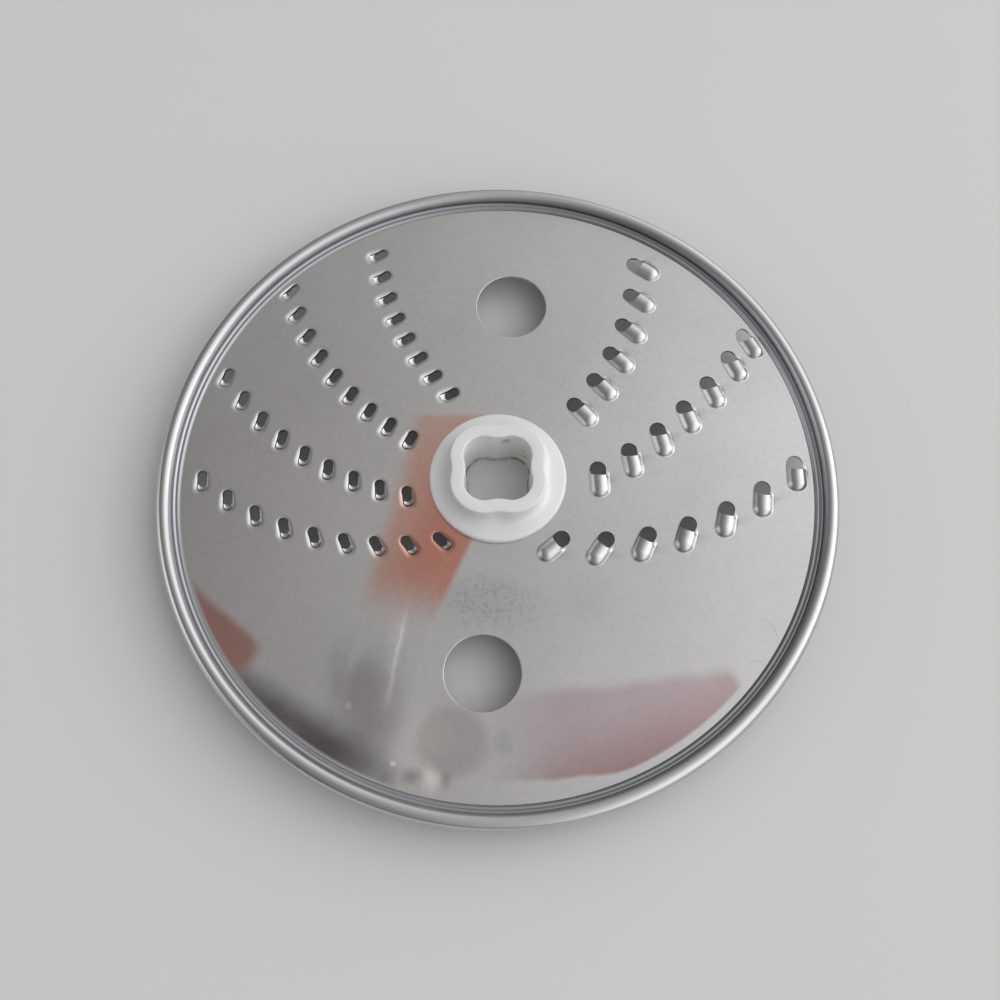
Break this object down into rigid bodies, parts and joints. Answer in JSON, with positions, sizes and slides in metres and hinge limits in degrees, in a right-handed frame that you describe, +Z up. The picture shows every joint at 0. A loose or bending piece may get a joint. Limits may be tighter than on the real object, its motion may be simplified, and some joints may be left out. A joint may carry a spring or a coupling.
{
  "type": "food processor grating disc",
  "caption": "Thin round steel disc with raised rim, coarse and fine grating teeth on opposite faces and finger holes, on a moulded plastic hub with a four-lobed drive socket.",
  "frame": {"origin": "on the hub's axis in the plane of its lower face, on which the disc rests", "axes": "+Z up along the hub's axis, towards the coarse teeth; +Y from the hub through one finger hole; +X towards the middle of the coarse field"},
  "size_m": [0.175, 0.175, 0.016],
  "materials": {
    "disc_steel": "satin, lightly stained",
    "hub_plastic": "smooth, slightly worn"
  },
  "bodies": {
    "root": {"grating_disc": "disc_steel", "drive_hub": "hub_plastic"}
  },
  "joints": []
}
